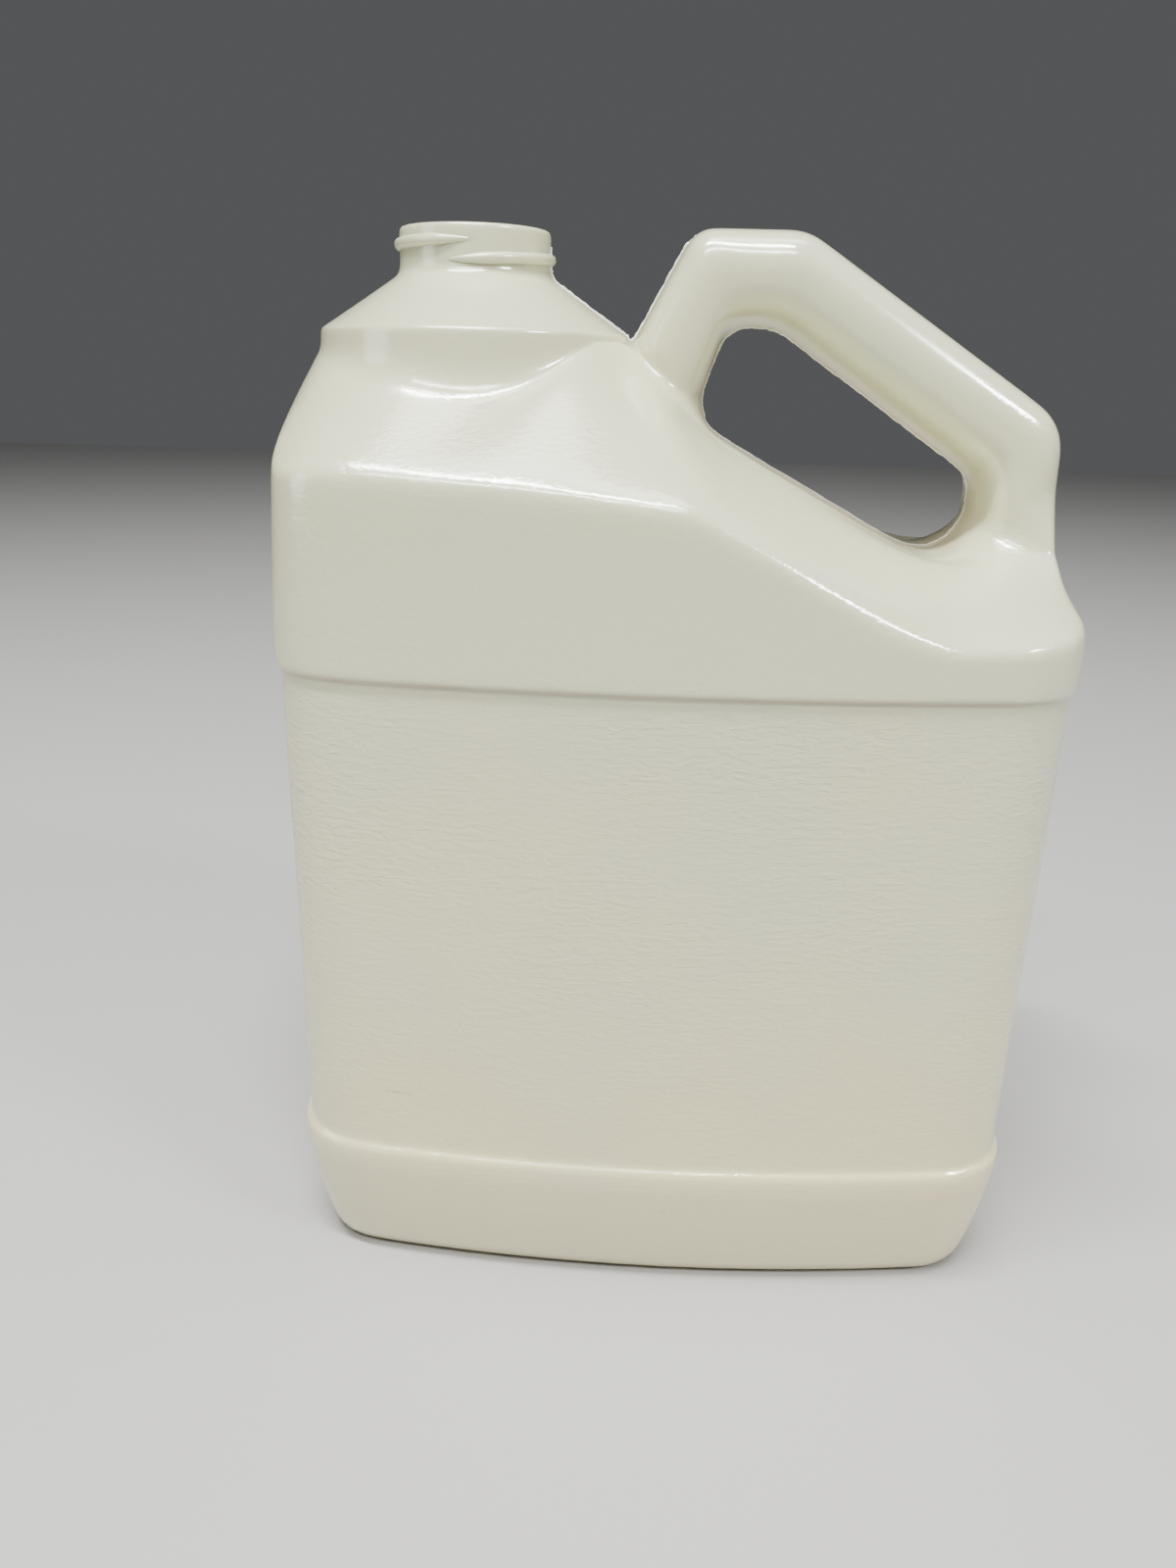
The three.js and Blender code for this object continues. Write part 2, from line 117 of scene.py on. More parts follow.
# arc of points that rounds a corner between its two neighbours
def roundCorner(before, corner, after, radius, count, share=0.46):
    toBefore, toAfter = before - corner, after - corner
    room = share * min(toBefore.length, toAfter.length)
    toBefore.normalize()
    toAfter.normalize()
    halfTurn = (math.pi - toBefore.angle(toAfter)) / 2
    reach = min(radius * math.tan(halfTurn), room)
    start, end = corner + toBefore * reach, corner + toAfter * reach
    middle = (toBefore + toAfter).normalized()
    centre = corner + middle * (reach / math.tan(halfTurn) / math.cos(halfTurn))
    points = []
    for i in range(count):
        t = i / (count - 1)
        a, b = math.sin((1 - t) * 2 * halfTurn), math.sin(t * 2 * halfTurn)
        points.append(centre + ((start - centre) * a + (end - centre) * b) / math.sin(2 * halfTurn))
    return points


print("camera")
view = {
    "place": (-7.80, -286.54, 217.99),
    "right": (0.99851, 0.04913, 0.02386),
    "up": (-0.03903, 0.33614, 0.94100),
    "forward": (-0.03822, 0.94053, -0.33756),
    "lens": 26.137,
}
bpy.ops.object.camera_add()
camera = bpy.context.object
camera.name = "photoCamera"
turn = Matrix((view["right"], view["up"], [-x for x in view["forward"]])).transposed()
camera.matrix_world = Matrix.Translation(Vector(view["place"]) * mm) @ turn.to_4x4()
camera.data.lens = view["lens"]
camera.data.sensor_width = 36
camera.data.clip_start = 0.01
bpy.context.scene.camera = camera

print("body")
body = {
    "width": 181,
    "depth": 117,
    "cornerRadius": 19,
    "frontBowDeg": 8,
    "leftShoulder": 197.6,
    "leftSideTop": 219.5,
    "slantStart": 2,
    "slantEnd": 56,
    "slantDeg": 27.6,
    "slantSoftness": (6, 8),
    # how far the shoulder's front edge lies below straight lines, by x
    "edgeSag": [(-91, 0), (-75, -1), (-62, -0.7), (-35, 0.7), (-8, 2.8), (27, 3), (53, 3.6),
                (67, 3), (80, 1.2), (91, 0)],
    "sideLean": 2.7,
    "sideEdgeStart": -1.7,
    # columns of the front half from the left parting line to the right one
    "lowerStops": [(0, -3), (2, -2), (5, -1), (12, -0.15), (20, 0.2), (22, 0.3), (25, 0.72),
                   (28, 0.9), (31, 1), (34, 2), (36, 3)],
    "edgeStops": [(0, -3), (2, -2), (5, -1), (12, -0.03), (20, 0.19), (22, 0.29), (25, 0.76),
                  (28, 0.93), (31, 1), (34, 2), (36, 3)],
    "edgeRadii": [(0, 3), (2, 5), (5, 6), (36, 6)],
    # how far in and how high, from the standing ring to the foot of the shoulder
    "rows": [(15.2, 1.6), (13.4, 0.1), (12.6, 0), (10.6, 0), (9.8, 0.1), (8.2, 1.2), (5.9, 4.3),
             (4.3, 9.2), (2.2, 18), (0.7, 27), (0.05, 31.2), (0.05, 34.4), (0.18, 35.5), (0.6, 36.2),
             (1.28, 36.75), (1.6, 37.4), (1.6, 42), (1.45, 96), (1.3, 149), (1.3, 154.4),
             (1.28, 154.95), (0.95, 155.25), (0.4, 155.65), (0.12, 156.15), (0.03, 156.9), (0, 158.4),
             (0, 162)],
    "foldShare": [(0, 0.5), (7, 0.25), (9, 0.3), (12, 0.48), (14, 0.3), (20, 0.35), (28, 0.35),
                  (31, 0.27), (34, 0.4), (36, 0.5)],
    "foldRise": [(0, 0), (7, 0), (9, 2), (11, 3.4), (13, 2.2), (16, 0), (28, 0), (31, -2.2),
                 (33, -3.2), (35, 0), (36, 0)],
    "rootCrease": [(-11.2, 0, 223.8), (4, 0, 206.9)],
    "rootCreaseY": [(12, -7), (13, -14), (14, -19), (16, -20.3), (20, -17.5)],
    "footCreaseX": [(28, 72.8), (31, 78), (34, 87.6), (36, 89.2)],
    "footCreaseY": [(28, -17.5), (31, -19.5), (33, -20), (34, -19), (35, -11), (36, 0)],
    "footCreaseZ": [(28, 184.8), (31, 182), (36, 181.7)],
    "creaseRadii": [(0, 16), (7, 16), (9, 6), (12, 4), (36, 4)],
    # how much of its neighbours' room the crease's bend takes, under the drum and elsewhere
    "creaseRoom": (0.65, 0.46),
    "relaxPasses": 12,
    "relaxSideways": 0.5,
    "relaxUpright": 0.12,
    # the pushed-up underside: its open edge lies below this, and each ring is a share of the last
    "undersideBelow": 5,
    "undersideRings": (0.75, 0.5, 0.2),
    "wall": 0.9,
    "mergeWithin": 0.02,
}
neck = {
    "x": -48.4,
    "radius": 17.5,
    "coneRadius": 36.1,
    "coneEdge": 226.5,
    # how far outside the cone the drum's crease and its upper border stand, and how far below its edge
    "creaseGap": 0.3,
    "borderGap": 0.1,
    "borderDrop": 1.5,
    # the inner skin is open within this radius, above this height
    "openRadius": 21,
    "openHeight": 235,
    # height by column of the crease between the shoulder and the drum
    "drumCrease": [(0, 223.2), (1, 222.4), (3, 220), (4, 218), (5, 216.4), (6, 215.2), (7, 215),
                   (8, 217), (9, 223.8), (10, 225.2), (12, 225.6)],
    "rings": [(36.15, 226.0), (35.95, 226.75), (35.3, 227.25), (33.6, 228.3), (27.2, 232.5),
              (21.2, 236.45), (18.9, 238.0), (18, 238.9), (17.6, 240), (17.5, 241.6),
              (17.5, 247.2), (17.45, 248)],
    # over the rim and down the bore
    "bore": [(17.1, 248.6), (16.3, 248.6), (15.9, 248.2), (15.8, 247.4), (15.8, 241),
             (16.2, 238.4), (17.4, 236.4)],
}
handle = {
    "outline": [(-11.3, 226.2), (1.6, 249.8), (26.4, 249.8), (87.9, 211), (88.5, 195)],
    "radii": [7, 14, 13],
    "grip": [(5.3, 214.2), (10.2, 229.2), (21.2, 229.2), (69.9, 197.6), (69.9, 189.6)],
    "gripRadii": [9, 12, 10],
    "sill": [(5.6, 207.6), (69.9, 173.4)],
    "sillRadii": [9, 10],
    "sillRise": 60,
    "halfDepth": 17,
    "holeDraft": [(20, 2.7), (21, 1.6), (22, 0.8), (26, 0.8), (27, 1.8), (28, 2.7)],
    "legPoints": [2, 2, 5, 2],
    "bendPoints": 5,
    "sectionOuter": [(0.5, 9), (1.9, 14.2), (6.2, 16.9)],
    "sectionInner": [(6.6, 16.6), (3, 13.4), (1.1, 7)],
    "sectionMiddle": 17.3,
}
notchColumn, holeLeft, holeRight, lastColumn = 12, 20, 28, 36


# place is -3 on the left parting line, -2 to -1 round the left corner, and so on to 3 on the right
def outlinePoint(place, inset, z):
    radius = body["cornerRadius"] - inset
    bow = math.radians(body["frontBowDeg"])
    reach = body["width"] / 2 - body["cornerRadius"] + radius * math.sin(bow)
    sag = reach * math.tan(bow) / 2
    side = -1 if place < 0 else 1
    far = abs(place)
    frontY = body["depth"] / 2 - inset
    if far <= 1:
        return Vector((place * reach, -(frontY - sag * place * place), z))
    centreY = frontY - sag - radius * math.cos(bow)
    if far <= 2:
        angle = bow + (math.pi / 2 - bow) * (far - 1)
        x = body["width"] / 2 - body["cornerRadius"] + radius * math.sin(angle)
        return Vector((side * x, -(centreY + radius * math.cos(angle)), z))
    return Vector((side * (body["width"] / 2 - inset), -centreY * (3 - far), z))


def onPlane(point):
    return Vector((point[0], 0, point[1]))


def handlePath(corners, radii):
    places = [onPlane(point) for point in corners]
    path = [places[0]]
    for i in range(1, len(places)):
        isLast = i == len(places) - 1
        bend = [places[i]] if isLast else roundCorner(places[i - 1], places[i], places[i + 1],
                                                      radii[i - 1], handle["bendPoints"])
        start, count = path[-1], handle["legPoints"][i - 1]
        path += [start.lerp(bend[0], j / (count + 1)) for j in range(1, count + 1)]
        path += bend
    return path


def sillPath():
    left, right = [onPlane(point) for point in handle["sill"]]
    start, end = onPlane(handle["grip"][0]), onPlane(handle["grip"][-1])
    leftBend = roundCorner(start, left, right, handle["sillRadii"][0], 3)
    above = right + Vector((0, 0, handle["sillRise"]))
    rightBend = roundCorner(left, right, above, handle["sillRadii"][1], 4)
    first, last = leftBend[2], rightBend[0]
    return [start, leftBend[1], first, first.lerp(last, 1 / 3), first.lerp(last, 2 / 3), last,
            rightBend[1], rightBend[2], end]


# nine points from one parting line over the front face to the other
def handleSection(outer, inner):
    across = inner - outer
    thickness = across.length
    across.normalize()
    section = [outer]
    for inset, depth in handle["sectionOuter"] + [(thickness / 2, handle["sectionMiddle"])]:
        point = outer + across * inset
        section.append(Vector((point.x, -depth, point.z)))
    for inset, depth in handle["sectionInner"]:
        point = inner - across * inset
        section.append(Vector((point.x, -depth, point.z)))
    return section + [inner]


def awayFromHole(sill, index):
    before, after = sill[max(index - 1, 0)], sill[min(index + 1, len(sill) - 1)]
    step = (after - before).normalized()
    return Vector((step.z, 0, -step.x))


def aroundNeck(column, radius, z):
    angle = math.pi * (1 + column / notchColumn)
    y = 0 if column in (0, notchColumn) else radius * math.sin(angle)
    return Vector((neck["x"] + radius * math.cos(angle), y, z))


def shoulderEdge(column):
    place = along(body["edgeStops"], column)
    point = outlinePoint(place, 0, 0)
    slant = math.tan(math.radians(body["slantDeg"]))
    softStart, softEnd = body["slantSoftness"]
    drop = slant * (softHinge(point.x - body["slantStart"], softStart)
                    - softHinge(point.x - body["slantEnd"], softEnd))
    z = body["leftShoulder"] - drop - along(body["edgeSag"], point.x)
    start = body["sideEdgeStart"]
    if place < start:
        z += (body["leftSideTop"] - body["leftShoulder"]) * (start - place) / (start + 3)
    point.x += body["sideLean"] * min(max(-1 - place, 0), 1)
    return Vector((point.x, point.y, z))


# front edge, fold, crease and upper border of the shoulder in one column
def shoulderColumn(column, root, foot, sill):
    edge = shoulderEdge(column)
    if column < notchColumn:
        crease = aroundNeck(column, neck["coneRadius"] + neck["creaseGap"],
                            along(neck["drumCrease"], column))
        top = aroundNeck(column, neck["coneRadius"] + neck["borderGap"],
                         neck["coneEdge"] - neck["borderDrop"])
    elif column <= holeLeft:
        top = root[column - notchColumn]
        share = (column - notchColumn) / (holeLeft + 1 - notchColumn)
        crease = Vector(body["rootCrease"][0]).lerp(Vector(body["rootCrease"][1]), share)
        crease.y = along(body["rootCreaseY"], column)
    elif column < holeRight:
        index = column - holeLeft
        top = sill[index]
        crease = top + awayFromHole(sill, index) * along(handle["holeDraft"], column)
        crease.y = -handle["halfDepth"]
    else:
        top = foot[lastColumn - column]
        crease = Vector([along(body["footCrease" + axis], column) for axis in "XYZ"])
    fold = crease.lerp(edge, along(body["foldShare"], column))
    fold.z += along(body["foldRise"], column)
    return edge, fold, crease, top


def bodyColumn(column, root, foot, sill):
    place = along(body["lowerStops"], column)
    rows = [outlinePoint(place, inset, z) for inset, z in body["rows"]]
    edge, fold, crease, top = shoulderColumn(column, root, foot, sill)
    start = rows[-1]
    edgeBend = roundCorner(start, edge, fold, along(body["edgeRadii"], column), 3)
    rows.append(start.lerp(edgeBend[0], 0.5))
    rows += edgeBend
    rows.append(edgeBend[2].lerp(fold, 0.5))
    rows.append(fold)
    share = body["creaseRoom"][0 if column < notchColumn - 3 else 1]
    creaseBend = roundCorner(fold, crease, top, along(body["creaseRadii"], column), 5, share)
    rows.append(fold.lerp(creaseBend[0], 0.5))
    rows += creaseBend
    rows.append(top)
    return rows


# evens out the slopes under the handle, where they run into each other
def relaxShoulder(columns):
    lastRow = len(columns[0]) - 1
    for _ in range(body["relaxPasses"]):
        before = [[point.copy() for point in rows] for rows in columns]
        for column in range(notchColumn, lastColumn - 2):
            isSill = holeLeft + 1 < column < holeRight - 1
            for row in range(lastRow - 8, lastRow - 5 if isSill else lastRow):
                sideways = before[column - 1][row].lerp(before[column + 1][row], 0.5)
                upright = before[column][row - 1].lerp(before[column][row + 1], 0.5)
                evened = before[column][row].lerp(sideways, body["relaxSideways"])
                columns[column][row] = evened.lerp(upright, body["relaxUpright"])


# a grid whose crossings are moved to the given points
def gridPiece(name, points):
    across, up = len(points) - 1, len(points[0]) - 1
    bpy.ops.object.select_all(action="DESELECT")
    bpy.ops.mesh.primitive_grid_add(x_subdivisions=across, y_subdivisions=up, size=2)
    piece = bpy.context.object
    piece.name = name
    for vertex in piece.data.vertices:
        column = round((vertex.co.x + 1) / 2 * across)
        row = round((vertex.co.y + 1) / 2 * up)
        vertex.co = points[column][row] * mm
    return piece


outerPath = handlePath(handle["outline"], handle["radii"])
gripPath = handlePath(handle["grip"], handle["gripRadii"])
stations = [handleSection(a, b) for a, b in zip(outerPath, gripPath)]
sill = sillPath()
stations[0][8], stations[-1][8] = sill[0], sill[-1]
columns = [bodyColumn(column, stations[0], stations[-1], sill) for column in range(lastColumn + 1)]
relaxShoulder(columns)
neckColumns = [[columns[column][-1]] + [aroundNeck(column, radius, z) for radius, z in neck["rings"]]
               for column in range(notchColumn + 1)]
sections = [[station[i] for station in stations] for i in range(9)]
jug = joinPieces(gridPiece("jugSkin", columns), gridPiece("neckSkin", neckColumns),
                 gridPiece("handleSkin", sections))
editOnly(jug)
bpy.ops.mesh.select_all(action="SELECT")
bpy.ops.mesh.remove_doubles(threshold=body["mergeWithin"] * mm)
leaveEdit()
addModifier(jug, "otherHalf", "MIRROR", use_axis=(False, True, False), use_clip=True,
            merge_threshold=body["mergeWithin"] * mm)

# the pushed-up underside
editOnly(jug)
pick(jug, "edges", lambda e: e.is_boundary
     and max(v.co.z for v in e.verts) < body["undersideBelow"] * mm)
for share in body["undersideRings"]:
    bpy.ops.mesh.extrude_region_move()
    bpy.ops.transform.resize(value=(share, share, 1))
bpy.ops.mesh.edge_face_add()
leaveEdit()

print("inside")
useOnly(jug)
bpy.ops.object.duplicate()
inside = bpy.context.object
editOnly(inside)
pick(inside, "faces", lambda f: f.calc_center_median().z > neck["openHeight"] * mm
     and abs(f.calc_center_median().x - neck["x"] * mm) < neck["openRadius"] * mm)
bpy.ops.mesh.delete(type="FACE")
bpy.ops.mesh.select_all(action="SELECT")
bpy.ops.transform.shrink_fatten(value=-body["wall"] * mm)
bpy.ops.mesh.flip_normals()
leaveEdit()
addModifier(inside, "smooth", "SUBSURF", levels=1, render_levels=1)

print("rim and bore")
editOnly(jug)
pick(jug, "edges", lambda e: e.is_boundary)
ringRadius = neck["rings"][-1][0]
for radius, z in neck["bore"]:
    bpy.ops.mesh.extrude_region_move()
    share = radius / ringRadius
    bpy.ops.transform.resize(value=(share, share, 1), center_override=(neck["x"] * mm, 0, 0))
    mesh = bmesh.from_edit_mesh(jug.data)
    for vertex in mesh.verts:
        if vertex.select:
            vertex.co.z = z * mm
    bmesh.update_edit_mesh(jug.data)
    ringRadius = radius
leaveEdit()
addModifier(jug, "smooth", "SUBSURF", levels=2, render_levels=2)

print("parting line")
seam = {
    "seed": 7,
    "cuts": 2,
    # how far the ragged line of plastic stands out where the halves of the mould met
    "side": 0.1,
    "handle": 0.22,
    "pinched": 0.42,
    "rim": 0.4,
    "foot": 0.252,
    "ragged": 0.5,
    "least": 0.3,
    # how much of its swell each point keeps from the last, and how much is new
    "kept": 0.7,
    "fresh": 0.5,
    "flatness": 0.6,
    "within": 0.01,
    # where it runs: ranges of x and z in the hole and the notch, and heights above or below
    "boreHeight": 232,
    "boreRadius": 17.3,
    "holeX": (4, 72),
    "holeZ": (170, 240),
    "holeSlope": (26, 0.63),
    "notchX": (-32, 2),
    "notchZ": (222, 247),
    "footBelow": 2,
    "handleAbove": 200,
}


def onSeam(edge):
    start = edge.verts[0].co
    inBore = (start.z > seam["boreHeight"] * mm
              and abs(start.x - neck["x"] * mm) < seam["boreRadius"] * mm)
    return all(abs(vertex.co.y) < seam["within"] * mm for vertex in edge.verts) and not inBore


def onHoleRim(x, z):
    (left, right), (bottom, top), (slopeStart, slope) = seam["holeX"], seam["holeZ"], seam["holeSlope"]
    return left < x < right and bottom < z < top - slope * max(0, x - slopeStart)


def seamHeight(x, z):
    if onHoleRim(x, z):
        return seam["rim"]
    (left, right), (bottom, top) = seam["notchX"], seam["notchZ"]
    if left < x < right and bottom < z < top:
        return seam["pinched"]
    if z < seam["footBelow"]:
        return seam["foot"]
    return seam["handle"] if z > seam["handleAbove"] else seam["side"]


random.seed(seam["seed"])
editOnly(jug)
pick(jug, "edges", onSeam)
bpy.ops.mesh.duplicate_move()
bpy.ops.mesh.separate(type="SELECTED")
leaveEdit()
flash = [piece for piece in bpy.context.selected_objects if piece != jug][0]
flash.name = "partingLine"
editOnly(flash)
bpy.ops.mesh.select_all(action="SELECT")
bpy.ops.mesh.subdivide(number_cuts=seam["cuts"])
leaveEdit()
useOnly(flash)
bpy.ops.object.convert(target="CURVE")
flash = bpy.context.object
flash.data.bevel_depth = mm
flash.data.bevel_resolution = 1
flash.data.use_fill_caps = True
for spline in flash.data.splines:
    swell = 0
    for point in spline.points:
        height = seamHeight(point.co.x / mm, point.co.z / mm)
        swell = seam["kept"] * swell + seam["fresh"] * (random.random() * 2 - 1)
        point.radius = height * max(seam["least"], 1 + seam["ragged"] * swell)
bpy.ops.object.convert(target="MESH")
flash = bpy.context.object
editOnly(flash)
bpy.ops.mesh.select_all(action="SELECT")
bpy.ops.transform.resize(value=(1, seam["flatness"], 1), center_override=(0, 0, 0))
leaveEdit()
low, high = cadBox
for vertex in flash.data.vertices:
    vertex.co = Vector([min(max(vertex.co[i], low[i]), high[i]) for i in range(3)])

joinPieces(jug, inside)
editOnly(jug)
pick(jug, "edges", lambda e: e.is_boundary)
bpy.ops.mesh.bridge_edge_loops()
leaveEdit()

print("thread")
thread = {
    "radius": 18.5,
    "pitch": 4.23,
    "turns": 1.09,
    "top": 245.9,
    "startDeg": 281,
    "rootWidth": 3,
    "crestWidth": 1.6,
    "crestRadius": 0.6,
    "tipShare": 0.25,
    # how deep its root and its ends lie in the neck, and what of its height the ends keep
    "rootSink": 0.6,
    "endSink": 0.8,
    "endShare": 0.15,
    # how far it leaves its even pitch, by turns
    "drift": [(0, -0.75), (0.27, 0.3), (0.77, 0.1), (1.09, -0.4)],
    "steps": 80,
    "taperSteps": 7,
}
# its section is a small plane on the neck's right, narrowed at the crest
bpy.ops.object.select_all(action="DESELECT")
start = math.radians(thread["startDeg"])
bpy.ops.mesh.primitive_plane_add(size=1)
ridge = bpy.context.object
ridge.name = "neckThread"
inner, outer = neck["radius"] - thread["rootSink"], thread["radius"]
corners = [(inner, -thread["rootWidth"] / 2), (outer, -thread["crestWidth"] / 2),
           (inner, thread["rootWidth"] / 2), (outer, thread["crestWidth"] / 2)]
for vertex, (radius, z) in zip(ridge.data.vertices, corners):
    vertex.co = Vector((radius * math.cos(start), radius * math.sin(start), z)) * mm
editOnly(ridge)
bpy.ops.mesh.select_all(action="SELECT")
bpy.ops.mesh.bevel(offset=thread["crestRadius"] * mm, segments=4, affect="VERTICES")
leaveEdit()
addModifier(ridge, "wind", "SCREW", axis="Z", angle=-math.radians(360 * thread["turns"]),
            screw_offset=-thread["pitch"] * thread["turns"] * mm, steps=thread["steps"],
            render_steps=thread["steps"], use_smooth_shade=True)
# both ends sink into the neck
for vertex in ridge.data.vertices:
    x, y = vertex.co.x / mm, vertex.co.y / mm
    radius = math.hypot(x, y)
    turned = (start - math.atan2(y, x)) / (2 * math.pi)
    height = vertex.co.z / mm
    wound = turned + round(-height / thread["pitch"] - turned)
    fromEnd = min(wound, thread["turns"] - wound)
    share = fromEnd * thread["steps"] / thread["turns"] / thread["taperSteps"]
    share = min(max(share, 0), 1)
    risen = thread["endShare"] + (1 - thread["endShare"]) * share
    sunk = neck["radius"] - thread["endSink"] + (radius - neck["radius"] + thread["endSink"]) * risen
    vertex.co.x *= sunk / radius
    vertex.co.y *= sunk / radius
    centre = -thread["pitch"] * wound
    slim = thread["tipShare"] + (1 - thread["tipShare"]) * share
    vertex.co.z = (centre + along(thread["drift"], wound) + (height - centre) * slim) * mm
    vertex.co += Vector((neck["x"], 0, thread["top"])) * mm
editOnly(ridge)
bpy.ops.mesh.select_all(action="SELECT")
bpy.ops.mesh.normals_make_consistent(inside=False)
leaveEdit()
joinPieces(jug, ridge, flash)
useOnly(jug)
bpy.ops.object.shade_smooth()

print("materials")
plastic = {
    "cool": (0.58, 0.605, 0.42, 1),
    "warm": (0.7, 0.62, 0.345, 1),
    "funnelBounceLight": (0.6, 0.52, 0.33, 1),
    "seam": (0.9, 0.9, 0.86, 1),
    "dirt": (0.28, 0.26, 0.22, 1),
    # heights in metres between which it turns warm with a painted warm reflection from below, and the
    # shares of that painted reflection (by height) and of the real mottle in that
    "reflectionWarmHeights": (0.17, 0.02),
    "reflectionWarmShare": 0.65,
    "mottle": 16,
    "mottleShare": 0.35,
    # place and reach in millimetres and turn in degrees of the painted yellow bounce light in the
    # funnel round the hole
    "funnelPlace": (38, 0, 201),
    "funnelReach": (46, 17, 21),
    "funnelTurn": 29,
    "funnelLightShare": 0.85,
    "seamShare": 0.75,
    "ior": 1.54,
    "gloss": 1,
    "coat": 0.4,
    "coatRoughness": 0.11,
    "smoothRoughness": 0.14,
    "dullRoughness": 0.25,
    "subsurface": 0.2,
    "scatter": (1.0, 0.85, 0.6),
    "scatterScale": 4,
    # repeats a metre and heights in millimetres of what the mould left on the skin
    "ripple": (330, 330, 950),
    "rippleHeight": 0.3,
    "pebble": (560, 560, 900),
    "pebbleHeight": 0.08,
    "grain": 1700,
    "grainHeight": 0.012,
    "insertLine": 32.4,
    "insertShare": 0.1,
    # painted shade in the step under the shoulder's overhang, just above the panel
    "paintedStepShade": (0.42, 0.36, 0.26, 1),
    "stepShadeHeight": 155.3,
    "stepShadeShares": (0.5, 0.8),
    "specks": 45,
    "speckShare": 0.5,
}
# place, reach, degrees of turn, strength: a grey scuff and four specks
marks = [
    ((-61.7, -53.8, 52.7), (4.2, 2.5, 0.5), 2, 0.5),
    ((-15.3, -45.8, 206.1), (0.5, 0.5, 0.4), 0, 0.6),
    ((0.7, -54.3, 199), (0.45, 0.6, 0.4), 0, 0.5),
    ((-2.7, -57.4, 82), (0.7, 0.7, 0.5), 0, 0.5),
    ((4, -57.5, 25), (0.6, 0.6, 0.5), 0, 0.6),
]
material = bpy.data.materials.new("whitePolyethylene")
material.use_nodes = True
nodes, links = material.node_tree.nodes, material.node_tree.links


def addNode(kind, values, **settings):
    made = nodes.new(kind)
    for key, value in settings.items():
        setattr(made, key, value)
    for socket, value in values.items():
        if isinstance(value, bpy.types.NodeSocket):
            links.new(value, made.inputs[socket])
        else:
            made.inputs[socket].default_value = value
    return made.outputs


def calc(operation, first, second=0):
    return addNode("ShaderNodeMath", {0: first, 1: second}, operation=operation)[0]


def fade(value, start, end, low=0, high=1):
    return addNode("ShaderNodeMapRange", {0: value, 1: start, 2: end, 3: low, 4: high})[0]


def mixColours(share, first, second):
    return addNode("ShaderNodeMix", {0: share, 6: first, 7: second}, data_type="RGBA")[2]


def noise(scale, detail=2, distortion=0, vector=None):
    values = {"Vector": vector or coords, "Scale": scale, "Detail": detail, "Distortion": distortion}
    return addNode("ShaderNodeTexNoise", values)[0]


# 1 within the reach of a place and 0 beyond it
def nearPlace(place, reach, turn):
    moved = addNode("ShaderNodeMapping", {
        "Vector": coords, "Location": Vector(place) * mm, "Scale": Vector(reach) * mm,
        "Rotation": (0, math.radians(turn), 0)}, vector_type="TEXTURE")[0]
    distance = addNode("ShaderNodeVectorMath", {0: moved}, operation="LENGTH")[1]
    return fade(distance, 1.1, 0.7)


# 1 at a height and 0 farther from it than the reach
def nearHeight(middle, reach, core):
    return fade(calc("ABSOLUTE", calc("SUBTRACT", height, middle * mm)), reach * mm, core * mm)


coords = addNode("ShaderNodeTexCoord", {})["Object"]
across, depth, height = addNode("ShaderNodeSeparateXYZ", {0: coords})[:3]
mottle = noise(plastic["mottle"], 3)
# warmer towards the bottom: painted warm reflection from below, mixed with a real random mottle
warmth = calc("ADD", fade(height, *plastic["reflectionWarmHeights"], 0, plastic["reflectionWarmShare"]),
              fade(mottle, 0.35, 0.65, 0, plastic["mottleShare"]))
colour = mixColours(warmth, plastic["cool"], plastic["warm"])
# painted yellow bounce light inside the funnel round the hole
funnelBounceLight = nearPlace(plastic["funnelPlace"], plastic["funnelReach"], plastic["funnelTurn"])
colour = mixColours(calc("MULTIPLY", funnelBounceLight, plastic["funnelLightShare"]), colour, plastic["funnelBounceLight"])

speckle = addNode("ShaderNodeTexVoronoi", {"Vector": coords, "Scale": plastic["specks"]})[0]
specks = fade(speckle, 0.014, 0.009)
colour = mixColours(calc("MULTIPLY", specks, plastic["speckShare"]), colour, plastic["dirt"])
broken = fade(noise(1300, 1), 0.4, 0.55, 0.25, 1)
for place, reach, turn, strength in marks:
    mark = calc("MULTIPLY", nearPlace(place, reach, turn), calc("MULTIPLY", broken, strength))
    colour = mixColours(mark, colour, plastic["dirt"])
insertLine = nearHeight(plastic["insertLine"], 0.3, 0.1)
colour = mixColours(calc("MULTIPLY", insertLine, plastic["insertShare"]), colour, plastic["dirt"])
# painted shade along the step above the panel, broken up by noise
paintedStepShade = nearHeight(plastic["stepShadeHeight"], 0.7, 0.3)
colour = mixColours(calc("MULTIPLY", paintedStepShade, fade(noise(40, 3), 0.3, 0.6, *plastic["stepShadeShares"])),
                    colour, plastic["paintedStepShade"])
partingLine = fade(calc("ABSOLUTE", depth), 0.3 * mm, 0.15 * mm)
colour = mixColours(calc("MULTIPLY", partingLine, plastic["seamShare"]), colour, plastic["seam"])

roughness = fade(noise(60, 4), 0.3, 0.7, plastic["smoothRoughness"], plastic["dullRoughness"])

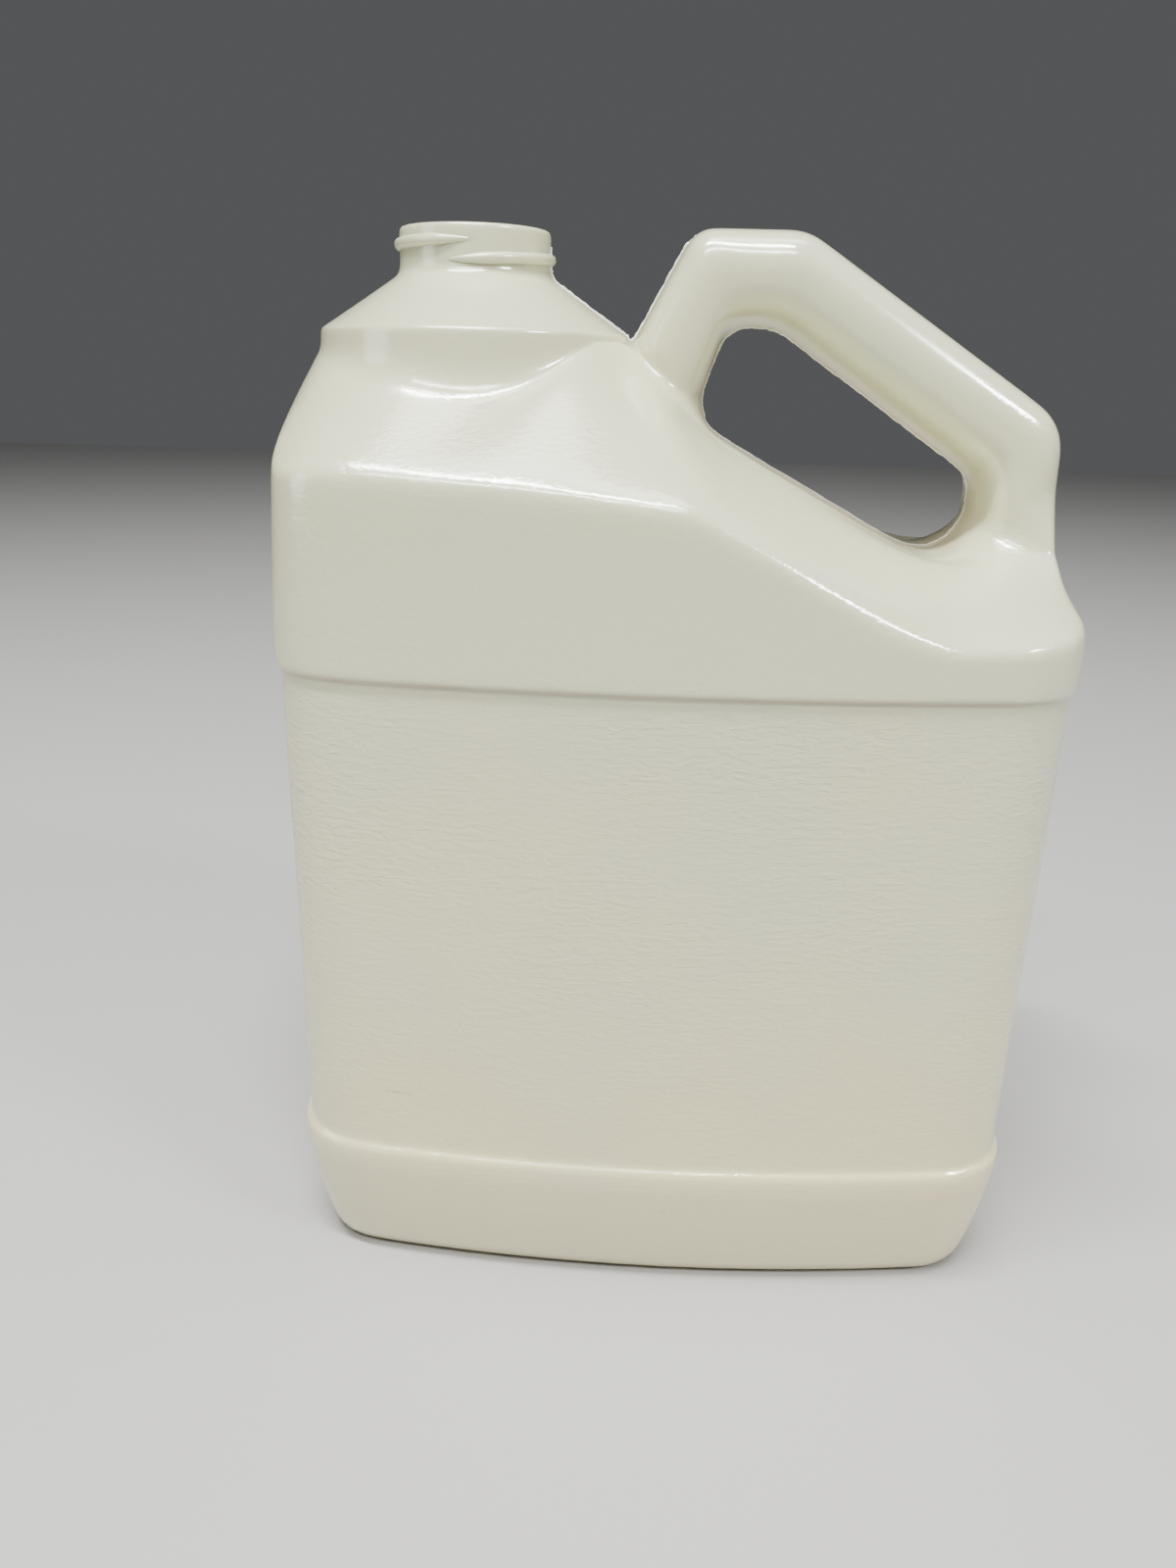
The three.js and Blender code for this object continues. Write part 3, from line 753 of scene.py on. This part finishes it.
# ripples on the panel, strongest high up, fine pebbles on the shoulder and a faint grain all over
stretched = addNode("ShaderNodeMapping", {"Vector": coords, "Scale": plastic["ripple"]})[0]
ripple = calc("MULTIPLY", noise(1, 1, 0.7, stretched), plastic["rippleHeight"] * mm)
onPanel = calc("MULTIPLY", fade(height, 0.03, 0.13, 0.25, 1), fade(height, 0.157, 0.152))
patches = fade(noise(22, 2), 0.35, 0.65, 0.45, 1)
ripple = calc("MULTIPLY", ripple, calc("MULTIPLY", onPanel, patches))
pebbled = addNode("ShaderNodeMapping", {"Vector": coords, "Scale": plastic["pebble"]})[0]
pebble = calc("MULTIPLY", noise(1, 1, 0.4, pebbled), plastic["pebbleHeight"] * mm)
onShoulder = calc("MULTIPLY", fade(height, 0.153, 0.157), fade(height, 0.225, 0.205, 0.15, 1))
pebble = calc("MULTIPLY", pebble, onShoulder)
grain = calc("MULTIPLY", noise(plastic["grain"], 2), plastic["grainHeight"] * mm)
relief = calc("ADD", ripple, calc("ADD", pebble, grain))
bump = addNode("ShaderNodeBump", {"Height": relief, "Distance": 1, "Strength": 1})[0]

shader = nodes["Principled BSDF"]
links.new(colour, shader.inputs["Base Color"])
links.new(roughness, shader.inputs["Roughness"])
links.new(bump, shader.inputs["Normal"])
finish = {"IOR": plastic["ior"], "Specular IOR Level": plastic["gloss"], "Coat Weight": plastic["coat"],
          "Coat Roughness": plastic["coatRoughness"], "Subsurface Weight": plastic["subsurface"],
          "Subsurface Radius": plastic["scatter"], "Subsurface Scale": plastic["scatterScale"] * mm}
for socket, value in finish.items():
    shader.inputs[socket].default_value = value
jug.data.materials.clear()
jug.data.materials.append(material)

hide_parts("jug")
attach(jug, "root")
jug.name = "jugShell"

print("stage")
# the floor's width is in metres
stage = {
    "floorWidth": 6,
    "floorColour": (0.4, 0.395, 0.385, 1),
    "floorRoughness": 0.8,
    "roomColour": (0.95, 0.97, 1, 1),
    "roomStrength": 0.1,
}
bpy.ops.object.select_all(action="DESELECT")
bpy.ops.mesh.primitive_plane_add(size=stage["floorWidth"], location=(0, 0, 0))
floor = bpy.context.object
floor.name = "paleFloor"
floorPaint = bpy.data.materials.new("paleFloorPaint")
floorPaint.use_nodes = True
floorShader = floorPaint.node_tree.nodes["Principled BSDF"]
floorShader.inputs["Base Color"].default_value = stage["floorColour"]
floorShader.inputs["Roughness"].default_value = stage["floorRoughness"]
floor.data.materials.append(floorPaint)

# place, aim and size in millimetres
lights = {
    "stripHigh": {"place": (-150, -420, 1500), "aim": (0, 0, 150), "size": (900, 90), "watts": 46},
    "stripLow": {"place": (-150, -820, 1250), "aim": (0, 0, 150), "size": (900, 70), "watts": 13},
    "stripRight": {"place": (1300, -850, 1300), "aim": (60, 0, 180), "size": (400, 70), "watts": 23},
    "overhead": {"place": (40, -60, 1500), "aim": (40, -60, 0), "size": (900, 300), "watts": 8},
    "left": {"place": (-1300, -500, 500), "aim": (0, 0, 120), "size": (500, 800), "watts": 4},
}
for name, light in lights.items():
    bpy.ops.object.light_add(type="AREA", location=Vector(light["place"]) * mm)
    lamp = bpy.context.object
    lamp.name = name
    lamp.data.shape = "RECTANGLE"
    lamp.data.size, lamp.data.size_y = [side * mm for side in light["size"]]
    lamp.data.energy = light["watts"]
    aim = Vector(light["aim"]) * mm - lamp.location
    lamp.rotation_euler = aim.to_track_quat("-Z", "Y").to_euler()
world = bpy.data.worlds.new("softRoom")
bpy.context.scene.world = world
world.use_nodes = True
background = world.node_tree.nodes["Background"]
background.inputs["Color"].default_value = stage["roomColour"]
background.inputs["Strength"].default_value = stage["roomStrength"]

print("done", len(jug.data.polygons))
